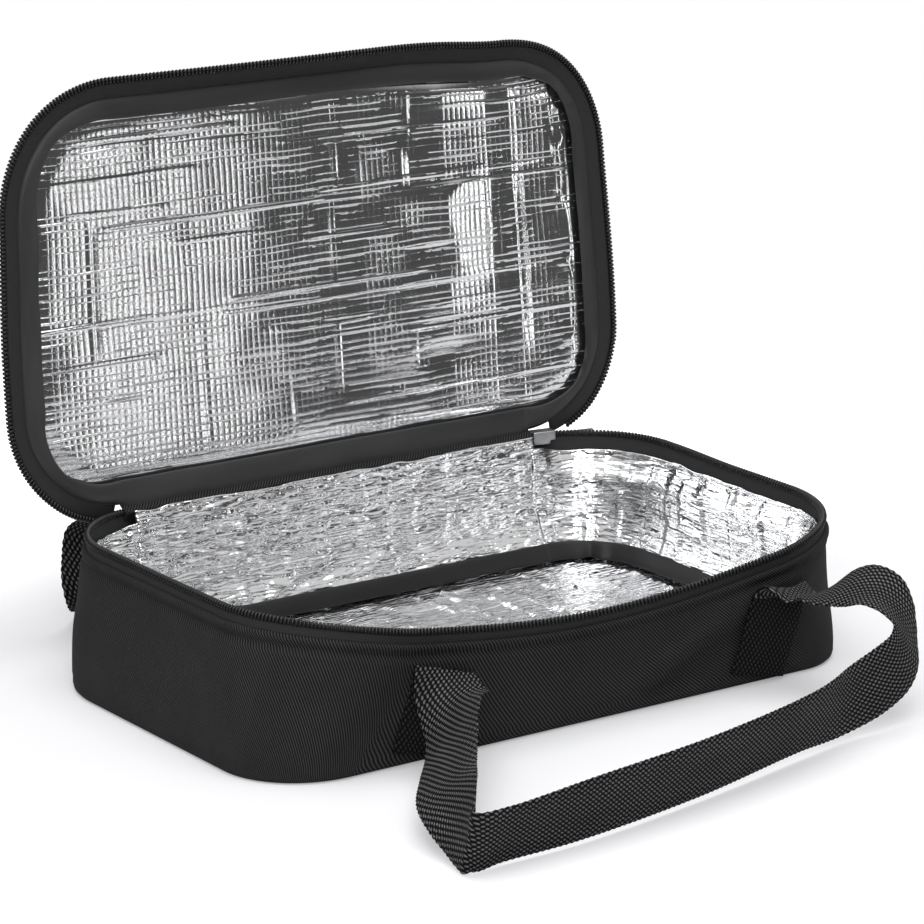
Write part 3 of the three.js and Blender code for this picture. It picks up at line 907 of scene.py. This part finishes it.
def make_base_zip():
    t, along = run(RIM, EDGE_STEP)
    top = zip_line(t)
    foot, head = (COIL_INSET, top - 1.0 - TAPE_WIDTH), (COIL_INSET, top - 1.0)
    rows, girth = strip_rows(base_points, foot, head, t)
    tape = face_outwards(bar_piece("base_tape", rows, cloth_uv(along, girth)))
    dress(tape, TAPE, "base", "zip_tape", "base_zip_tape")
    points, faces = coil_piece(base_points, lambda s: zip_line(s) - COIL_DROP, RIM, 0.0, WALL_END, 1)
    coil = face_outwards(mesh_piece("base_coil", points, faces))
    dress(coil, NYLON, "base", "zip_coil", "base_zip_coil")


# Lid


def make_lid_zip():
    t, along = run(LID, EDGE_STEP, 0.2, 6.96)
    foot, head = (COIL_INSET + 0.5, lid_zip_line(t) + 1.3), (9.0, LID_SEAM + 0.3)
    rows, girth = strip_rows(lid_points, foot, head, t)
    tape = face_outwards(bar_piece("lid_tape", opened(rows), cloth_uv(along, girth)))
    dress(tape, TAPE, "lid", "zip_tape", "lid_zip_tape")
    points, faces = coil_piece(lid_points, lambda s: lid_zip_line(s) + COIL_DROP, LID, 0.31, 6.93, -1)
    coil = face_outwards(mesh_piece("lid_coil", opened(points), faces))
    dress(coil, NYLON, "lid", "zip_coil", "lid_zip_coil")


def ridges(x, y, seed, count, length, width):
    """Thin creases along x that start and stop at random."""
    random = np.random.default_rng(seed)
    rise = np.zeros_like(x)
    low_x, high_x, low_y, high_y = x.min(), x.max(), y.min(), y.max()
    for _ in range(count):
        middle_x, middle_y = random.uniform(low_x, high_x), random.uniform(low_y, high_y)
        half = random.uniform(*length) / 2
        level = random.uniform(0.4, 1.0)
        drift = 0.35 * noise((x - middle_x) / 17, middle_y, seed + 1)
        window = eased(half, half - 9, np.abs(x - middle_x))
        crest = np.clip(1 - np.abs(y - middle_y - drift) / width, 0, 1)
        rise = np.maximum(rise, crest * window * level)
    return rise


# Lean of the lid's foil between upright creases: place along the lid, height towards the inside
LID_FACETS = ((-135, 0), (-53, 0), (-28, 0.25), (20, 0), (58, 1.6), (81, 0), (91, 0.35), (96, 0), (135, 0))


def lid_crumple(x, y):
    """Facets between creases, with sharp ridges along and across, towards the inside."""
    wander = 0.8 * noise(x / 60, y / 45, 60)
    places, heights = np.transpose(LID_FACETS)
    facets = np.interp(x + wander, places, heights)
    fade = noise(x / 26, y / 17, 61)
    share = 1 - 0.6 * eased(-0.1, 0.7, fade) - 0.5 * eased(34, 46, y + 5 * fade)
    small = folded(x + wander, 62, 19, 0.06) + folded(y + wander, 65, 15, 0.1)
    swell = noise(x / 45, y / 60, 66) * 0.22 + noise(x / 13, y / 11, 68) * 0.07
    level = ridges(x, y, 67, 34, (25, 150), 0.8) * 0.36
    upright = ridges(y, x, 69, 14, (20, 90), 0.9) * 0.26
    side = creases(x / 4.5, y / 26, 70, 3.0) * 0.7 * eased(104, 118, x)
    return facets * share + small + swell + np.maximum(level, upright) + side


def backed_piece(name, points, uv, depth):
    """Sheet with a plain back, for a grid whose edge is nearly flat."""
    rows, columns = points.shape[:2]
    faces = grid_faces(rows, columns, flip=True)
    ring = list(range(columns))
    ring += [i * columns + columns - 1 for i in range(1, rows)]
    ring += [(rows - 1) * columns + j for j in range(columns - 2, -1, -1)]
    ring += [i * columns for i in range(rows - 2, 0, -1)]
    flat = points.reshape(-1, 3)
    first = len(flat)
    back = flat[ring] + depth
    for k in range(len(ring)):
        m = (k + 1) % len(ring)
        faces.append((ring[m], first + m, first + k, ring[k]))
    faces.append(tuple(first + k for k in range(len(ring))))
    uv = uv.reshape(-1, 2)
    return mesh_piece(name, np.concatenate([flat, back]), faces, np.concatenate([uv, uv[ring]]))


def make_lid_foil():
    x, y = panel_grid(LID, LID_FOIL_INSET, 200, 236)
    slack = eased(1, 12, edge_distance(LID, LID_FOIL_INSET, x, y))
    z = LID_LINING - 0.5 * slack - lid_crumple(x, y) * slack
    points = np.stack([x, y, z], axis=-1)
    depth = opened(np.array([[0, 0, 0.4]])) - opened(np.array([[0, 0, 0.0]]))
    piece = backed_piece("lid_foil", opened(points), points[..., :2], depth)
    face_outwards(piece)
    dress(piece, LID_FOIL, "lid", "foil", "lid_lining", "lid_foam")


LID_BINDING = (
    (8.0, 59.2), (8.0, 57.9), (8.9, 57.0), (11.0, 56.4), (13.6, 56.0), (15.4, 56.1),
    (16.0, 56.6), (15.6, 57.2), (13.6, 57.4), (11.0, 58.0), (9.2, 59.3),
)
LIP_ROOT = 8.0


def make_lid_binding():
    t, along = whole_edge(LID)
    x, y = edge(LID, 0.0, t)
    wide = 1.0 + 0.1 * eased(60, 78, y)
    drop = 4.2 * eased(60, 79, y) * eased(94, 85, np.abs(x))
    corner = corner_share(t)
    right_corner = bump_at(x, 118, 22) * (bump_at(y, -64, 22) + bump_at(y, 60, 22))
    pucker = 0.35 * noise(along / 14, 0, 71) + right_corner * 1.3 * noise(along / 5, 0, 72)
    rows = []
    for inset, z in LID_BINDING:
        free = eased(9, 15, inset)
        reach = LIP_ROOT + (inset - LIP_ROOT) * wide * (1 - 0.4 * corner) - drop * (1 - free)
        rows.append(lid_points(reach + 0.5 * pucker * free, z - pucker * free, t))
    piece = binding_piece("lid_binding", opened(np.array(rows)), along)
    dress(piece, LID_VINYL, "lid", "binding", "lid_binding")


def make_lid_fabric():
    x, y = panel_grid(LID, LID_FABRIC_INSET, 150, 100, 1.7)
    depth = edge_distance(LID, LID_FABRIC_INSET, x, y)
    round_over = np.sqrt(np.clip(1 - (1 - np.clip(depth / 7.0, 0, 1)) ** 2, 0, 1))
    slack = eased(4, 30, depth)
    soft = 0.8 * noise(x / 45, y / 40, 81) * slack + 1.2 * eased(5, 60, depth)
    z = LID_FOOT + (LID_TOP - LID_FOOT) * round_over + soft
    points = np.stack([x, y, z], axis=-1)
    piece = sheet_piece("lid_fabric", opened(points), points[..., :2])
    thicken(piece, FABRIC_THICK)
    dress(piece, OXFORD, "lid", "outer_fabric", "lid_outer_fabric")


def make_hinge():
    """Fabric strip from the back wall over the hinge line to the lid's seam."""
    x = np.linspace(-92, 92, 120)
    profile = [(84.6, 44.0), (84.6, 47.0), (83.6, 49.6), (82.2, 51.8), (81.1, 53.3)]
    over = ((5.4, 54.2), (6.4, 56.2), (7.4, 57.9), (9.4, 59.0))
    lid_side = np.array([(0, LID[1] - inset, z) for inset, z in over])
    profile += [(p[1], p[2]) for p in opened(lid_side)]
    rows = []
    length = [0.0]
    for index, (y, z) in enumerate(profile):
        wave = 0.25 * noise(x / 12, index * 0.7, 91)
        rows.append(np.stack([x, y + wave, np.full_like(x, z)], axis=-1))
        if index:
            step = math.dist(profile[index], profile[index - 1])
            length.append(length[-1] + step)
    piece = soften(sheet_piece("hinge_fabric", np.array(rows), cloth_uv(x, length)))
    thicken(piece, HINGE_THICK)
    dress(piece, OXFORD, None, "outer_fabric", "hinge_strip_lower", "hinge_strip_upper")
    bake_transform(piece)


# Slider


def box(name, low, high):
    """Cuboid between two corners, in millimetres."""
    bpy.ops.object.select_all(action="DESELECT")
    low, high = np.array(low, float), np.array(high, float)
    bpy.ops.mesh.primitive_cube_add(size=1, location=tuple((low + high) / 2 * MM))
    piece = bpy.context.active_object
    piece.name = name
    piece.scale = tuple((high - low) * MM)
    bpy.ops.object.transform_apply(location=True, rotation=False, scale=True)
    return piece


def carve(piece, tool):
    """Cuts a tool out of a piece and removes the tool."""
    modify(piece, "BOOLEAN", object=tool, operation="DIFFERENCE", solver="EXACT")
    bpy.data.objects.remove(tool)


SLIDER_TURN = math.radians(10)
SLIDER_REACH = RIM[3] - COIL_INSET
SLIDER_SPOT = (
    RIM[0] - RIM[3] + SLIDER_REACH * math.sin(SLIDER_TURN),
    RIM[1] - RIM[3] + SLIDER_REACH * math.cos(SLIDER_TURN),
    ZIP_HEIGHT - 1,
)


def set_on_zip(piece):
    """Moves a piece from the slider's own frame to its place on the zip."""
    co = np.array([vertex.co for vertex in piece.data.vertices]) / MM
    cosine, sine = math.cos(-SLIDER_TURN), math.sin(-SLIDER_TURN)
    x = SLIDER_SPOT[0] + co[:, 0] * cosine - co[:, 1] * sine
    y = SLIDER_SPOT[1] + co[:, 0] * sine + co[:, 1] * cosine
    z = SLIDER_SPOT[2] + co[:, 2]
    piece.data.vertices.foreach_set("co", (np.stack([x, y, z], axis=-1) * MM).ravel())
    piece.data.update()
    piece.data.shade_smooth()
    select_only(piece)
    bpy.ops.object.shade_smooth_by_angle(angle=math.radians(40))
    return piece


def rounded(piece, width, segments):
    return modify(piece, "BEVEL", width=width * MM, segments=segments, limit_method="ANGLE")


def make_slider():
    body = box("slider_shell", (-4.8, -2.7, -3.4), (4.8, 2.7, 1.9))
    carve(body, box("slot", (-9, -1.7, -9), (9, 1.7, 1.0)))
    carve(body, box("nose", (2.6, -9, -9), (9, 9, -1.9)))
    dress(set_on_zip(rounded(body, 0.6, 3)), METAL, "slider", "slider_metal", "slider_body")
    crown = box("slider_bridge", (-3.6, 2.9, -3.4), (3.6, 5.5, -2.4))
    carve(crown, box("window", (-2.6, 0, -9), (2.6, 4.5, 9)))
    dress(set_on_zip(rounded(crown, 0.35, 3)), METAL, "slider", "slider_metal", "slider_crown")
    pull = box("slider_tag", (-0.5, 3.1, -6.0), (24, 4.1, -0.8))
    carve(pull, box("eye", (0.5, -9, -4.2), (5.5, 9, -1.6)))
    carve(pull, box("grip", (9, 3.75, -5.0), (20, 9, -1.8)))
    dress(set_on_zip(rounded(pull, 0.3, 2)), METAL, "pull", "slider_metal", "slider_pull")


# Handles

HANDLE_OUT = FLOOR[1] + (RIM[1] - FLOOR[1]) * LEG_HEIGHT / ZIP_HEIGHT + 2.1
FOLD_Z = LEG_HEIGHT - WEB_THICK / 2

# Stations of a free strap by the leg they are counted from: along the wall, out from it and up,
# then the way across the strap
FRONT_LEFT = (
    ((-0.2, 0.5, 33.8), (0.98, 0, -0.2)),
    ((-1.4, 3.8, 30.8), (0.97, 0.06, -0.05)),
    ((-3, 7.4, 28.2), (0.92, 0.14, 0.2)),
    ((-5.4, 11.8, 26), (0.82, 0.24, 0.45)),
    ((-10, 18.6, 23.9), (0.66, 0.35, 0.66)),
    ((-17.6, 28.6, 21.6), (0.56, 0.44, 0.7)),
    ((-28, 41.8, 20), (0.6, 0.48, 0.64)),
    ((-40, 57.5, 18.2), (0.62, 0.47, 0.61)),
    ((-46.7, 70.4, 17.2), (0.47, 0.46, 0.75)),
    ((-51, 80.6, 15.3), (0.22, 0.43, 0.87)),
    ((-54.8, 89.6, 13.2), (0, 0.42, 0.91)),
    ((-55.6, 92.6, 12.5), (-0.07, 0.38, 0.92)),
    ((-51.6, 94, 12.3), (-0.09, 0.36, 0.93)),
    ((-41.5, 93.2, 12.5), (-0.06, 0.4, 0.91)),
    ((-9, 91, 13.2), (0, 0.3, 0.95)),
    ((48, 82, 13.6), (0.05, 0.3, 0.95)),
)
FRONT_RIGHT = (
    ((-43, 69, 15), (0.03, 0.28, 0.96)),
    ((-20, 61, 15.2), (-0.04, 0.06, 1)),
    ((-4.3, 59, 18.7), (-0.21, 0, 0.98)),
    ((6.5, 57.3, 23), (-0.46, 0.08, 0.88)),
    ((11.6, 54.4, 27), (-0.66, 0.2, 0.72)),
    ((13.6, 51.6, 30.4), (-0.8, 0.43, 0.41)),
    ((14.4, 49.2, 33.6), (-0.84, 0.51, 0.16)),
    ((14.4, 45.6, 37.6), (-0.87, 0.49, 0)),
    ((13.4, 38.5, 42), (-0.88, 0.4, -0.22)),
    ((12, 30, 42.6), (-0.82, 0.46, -0.36)),
    ((10.5, 23, 41), (-0.82, 0.5, -0.28)),
    ((7.4, 14.6, 36.8), (-0.9, 0.42, -0.02)),
    ((4.7, 9.4, 34.9), (-0.93, 0.26, 0.2)),
    ((2.7, 6.2, 35.6), (-0.96, 0.16, 0.14)),
    ((1, 3.4, 36.6), (-0.98, 0.08, 0.14)),
    ((0, 1.4, 36), (-0.98, 0, 0.18)),
    ((-0.2, 0.5, 34), (-0.98, 0, 0.2)),
)
BACK_LEFT = (
    ((0, 0.1, FOLD_Z), (1, 0, 0)),
    ((0, 3, FOLD_Z - 0.6), (1, 0, 0)),
    ((0, 7, 30.5), (1, 0.1, 0)),
    ((-1, 11, 23), (0.92, 0.38, 0.13)),
    ((-7, 21, 14.8), (0.65, 0.6, 0.46)),
    ((-23, 33, 13.5), (0.44, 0.44, 0.78)),
    ((-44, 43, 13.5), (0.2, 0.15, 0.97)),
    ((-58, 56, 13.5), (0, 0, 1)),
    ((-56, 73, 13.5), (0, 0, 1)),
    ((-38, 82, 13.5), (0, 0, 1)),
    ((-8, 80, 13.5), (0, 0, 1)),
    ((28, 69, 13.5), (0, 0, 1)),
    ((66, 65, 13.5), (0, 0.19, 0.98)),
)
BACK_RIGHT = (
    ((-46, 70, 13.5), (0, 0.24, 0.97)),
    ((-21, 65, 13.5), (-0.1, 0, 1)),
    ((-7, 52, 13.5), (-0.28, -0.2, 0.94)),
    ((3, 40, 13), (-0.5, -0.3, 0.8)),
    ((8, 30, 18), (-0.75, -0.4, 0.52)),
    ((9, 27, 28), (-0.85, -0.45, 0.25)),
    ((8, 26, 37), (-0.9, -0.4, 0.1)),
    ((6, 20, 43.5), (-0.95, -0.25, 0.05)),
    ((3, 13, 43.5), (-0.98, -0.1, 0.05)),
    ((1, 7, 39.5), (-1, 0, 0.05)),
    ((0, 2.5, 36.4), (-1, 0, 0)),
    ((0, 0.1, FOLD_Z), (-1, 0, 0)),
)


# Where a lifted strap begins to turn, and where it has turned in full
STRAP_BEND = ((0, -86.5, LEG_HEIGHT), (0, -134, LEG_HEIGHT))


def spline(knots, points, at):
    """Smooth curve through points at knots."""
    points = np.asarray(points, float)
    slopes = np.gradient(points, knots, axis=0)
    index = np.clip(np.searchsorted(knots, at, side="right") - 1, 0, len(knots) - 2)
    span = (knots[index + 1] - knots[index])[:, None]
    s = ((at - knots[index]) / span[:, 0])[:, None]
    h00, h10 = 2 * s**3 - 3 * s**2 + 1, s**3 - 2 * s**2 + s
    h01, h11 = 3 * s**2 - 2 * s**3, s**3 - s**2
    first, last = points[index], points[index + 1]
    return h00 * first + h10 * span * slopes[index] + h01 * last + h11 * span * slopes[index + 1]


def ribbon_piece(name, middle, across):
    """Webbing with thick, slightly scalloped edges along a row of middle points."""
    step = np.linalg.norm(np.diff(middle, axis=0), axis=1)
    along = np.concatenate([[0], np.cumsum(step)])
    count = int(along[-1] / WEB_STEP)
    at = np.linspace(0, along[-1], count)
    centre = np.stack([np.interp(at, along, middle[:, k]) for k in range(3)], axis=-1)
    wide = np.stack([np.interp(at, along, across[:, k]) for k in range(3)], axis=-1)
    way = unit(np.gradient(centre, axis=0))
    wide = unit(wide - way * np.sum(wide * way, axis=1, keepdims=True))
    face = np.cross(way, wide)
    half = WEB_WIDTH / 2 - 0.2 + 0.2 * np.cos(2 * np.pi * at / SCALLOP)
    rows, girth = [], []
    spread = np.sin(np.linspace(-np.pi / 2, np.pi / 2, 15))
    for side, shares in ((1, spread), (-1, spread[::-1])):
        for share in shares:
            thick = WEB_THICK / 2 * (1 - 0.75 * abs(share) ** 10)
            rows.append(centre + wide * (half * share)[:, None] + face * side * thick)
            girth.append(share * WEB_WIDTH / 2)
    return face_outwards(bar_piece(name, np.array(rows), cloth_uv(at, girth)))


def turned(points, sign):
    """Handle frame to the bag's frame: the back handle is the front one turned half round."""
    flipped = points.copy()
    flipped[..., :2] *= sign
    return flipped


def strap_lines(left, right):
    stations = [(LEFT_LEG, *station) for station in left]
    stations += [(RIGHT_LEG, *station) for station in right]
    middle = np.array([(leg + x, -HANDLE_OUT - out, z) for leg, (x, out, z), _ in stations])
    across = unit(np.array([(x, -out, z) for _, _, (x, out, z) in stations], float))
    step = np.linalg.norm(np.diff(middle, axis=0), axis=1) ** 0.5
    knots = np.concatenate([[0], np.cumsum(step)])
    at = np.linspace(0, knots[-1], 900)
    return spline(knots, middle, at), spline(knots, across, at)


def wall_face(x, z):
    """How far the front or back wall's fabric stands from the bag's middle line."""
    half_x, half_y, front, _ = base_plan(z)
    past = np.maximum(np.abs(x) - (half_x - front), 0)
    flat = half_y - front + np.sqrt(np.maximum(front**2 - past**2, 0))
    rise = np.clip(z / 40, 0, 1)
    return flat + 0.5 + 0.7 * np.sin(np.pi * rise) ** 1.2


def leg_lines(top_x):
    """Sewn end of a handle from the bottom seam up to its fold."""
    z = np.linspace(4.2, LEG_HEIGHT - 2, 60)
    tilt = math.atan2(LEG_LEAN, LEG_HEIGHT)
    x = top_x - (LEG_HEIGHT - 2 - z) * math.tan(tilt)
    y = -np.maximum(wall_face(x, z), wall_face(x + 10, z)) - 1.1
    middle = np.stack([x, y, z], axis=-1)
    across = np.tile(np.array([math.cos(tilt), 0, -math.sin(tilt)]), (len(z), 1))
    return middle, across


def make_handle(name, left, right, sign):
    middle, across = strap_lines(left, right)
    strap = ribbon_piece(name + "_strap_web", turned(middle, sign), turned(across, sign))
    dress(strap, WEBBING, None, "webbing", name + "_strap")
    start, end = (turned(np.array(point), sign) * MM for point in STRAP_BEND)
    tuple(start)
    tuple(end)
    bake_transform(strap)
    for side, x in (("left", LEFT_LEG), ("right", RIGHT_LEG)):
        middle, across = leg_lines(x)
        leg = ribbon_piece(f"{name}_{side}_sewn", turned(middle, sign), turned(across, sign))
        # The leg's webbing is painted darker, as painted shade from the loop above it
        dress(leg, SHADED_LEG_WEBBING, "base", "webbing", f"{name}_{side}_leg")


# Stage


FLOOR_SIZE = 0.5
FLOOR_PALE = 0.7
FLOOR_GLOW = 0.27


def floor_finish():
    """Pale floor that keeps the shadow near the bag and runs out into the white background."""
    finish = Finish("floor_pale", Roughness=1.0, Specular_IOR_Level=0.0)
    oval = finish.node("VectorMath", {0: finish.place(), 1: (1, 1.3, 1)}, operation="MULTIPLY")
    away = finish.node("VectorMath", {0: oval}, output="Value", operation="LENGTH") * MM
    rim = finish.ramp(away, 0.19, 0.42)
    seen = finish.node("LightPath", output="Is Camera Ray")
    grain = finish.noise(finish.place(), 0.02)
    pale = grey(FLOOR_PALE)
    finish.set("Base Color", finish.mix(grain, pale, grey(FLOOR_PALE * 1.03)))
    glow = (FLOOR_GLOW + rim * 0.8) * seen
    finish.set("Emission Color", finish.mix(glow, grey(0.0), grey(1.0)))
    finish.shader.inputs["Emission Strength"].default_value = 1.0
    return finish.material


def make_stage():
    bpy.ops.object.select_all(action="DESELECT")
    bpy.ops.mesh.primitive_circle_add(vertices=96, radius=FLOOR_SIZE, fill_type="NGON")
    floor = bpy.context.active_object
    floor.name = "floor"
    floor.data.materials.append(floor_finish())
    floor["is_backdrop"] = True
    world = bpy.data.worlds.new("studio")
    bpy.context.scene.world = world
    world.use_nodes = True
    tree = world.node_tree
    sky = tree.nodes["Background"]
    sky.inputs["Color"].default_value = (1, 1, 1, 1)
    parts = tree.nodes.new("ShaderNodeSeparateXYZ")
    way = tree.nodes.new("ShaderNodeTexCoord").outputs["Generated"]
    tree.links.new(way, parts.inputs[0])
    height = Wire(tree, parts.outputs[2])
    path = tree.nodes.new("ShaderNodeLightPath")
    seen = Wire(tree, path.outputs["Is Camera Ray"])
    level = 0.06 + ((height - 0.2) * 1.5).most(0.0).least(0.6)
    plug(tree, sky.inputs["Strength"], seen + (1 - seen) * level)


def lamp(name, place, target, size, power):
    data = bpy.data.lights.new(name, "AREA")
    data.shape = "RECTANGLE"
    data.size, data.size_y = size
    data.energy = power
    piece = bpy.data.objects.new(name, data)
    piece.location = place
    way = Vector(target) - Vector(place)
    piece.rotation_euler = way.to_track_quat("-Z", "Y").to_euler()
    piece.visible_camera = False
    bpy.context.scene.collection.objects.link(piece)


def make_lights():
    lamp("top", (0.0, -0.1, 1.6), (0, 0, 0.05), (1.4, 1.2), 12)
    lamp("key", (-1.0, -1.3, 1.1), (0, 0, 0.05), (0.9, 0.9), 10)
    lamp("near_panel", (0.315, -0.6, 0.04), (-0.09, 0.09, 0.12), (0.045, 0.36), 0.085)
    lamp("near_strip", (0.72, -0.6, 0.04), (0.07, 0.09, 0.12), (0.045, 0.36), 0.13)


def make_camera():
    data = bpy.data.cameras.new("camera")
    data.lens = VIEW_LENS
    data.sensor_width = SENSOR
    data.sensor_fit = "HORIZONTAL"
    data.clip_end = 50
    target = Vector(VIEW_TARGET) * MM
    away = Vector((
        -math.sin(VIEW_AZIMUTH) * math.cos(VIEW_ELEVATION),
        -math.cos(VIEW_AZIMUTH) * math.cos(VIEW_ELEVATION),
        math.sin(VIEW_ELEVATION),
    ))
    camera = bpy.data.objects.new("camera", data)
    camera.location = target + away * VIEW_DISTANCE * MM
    camera.rotation_euler = (-away).to_track_quat("-Z", "Y").to_euler()
    bpy.context.scene.collection.objects.link(camera)
    bpy.context.scene.camera = camera
    bpy.context.scene.view_settings.view_transform = "Standard"


make_camera()
make_stage()
make_lights()
make_base_fabric()
make_base_foil()
make_floor_binding()
make_base_zip()
make_lid_zip()
make_lid_foil()
make_lid_binding()
make_lid_fabric()
make_hinge()
make_slider()
make_handle("front_handle", FRONT_LEFT, FRONT_RIGHT, 1)
make_handle("back_handle", BACK_LEFT, BACK_RIGHT, -1)

boxes = {"cad": cad_box, "visual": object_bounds()}
{key: [list(corner) for corner in pair] for key, pair in boxes.items()}
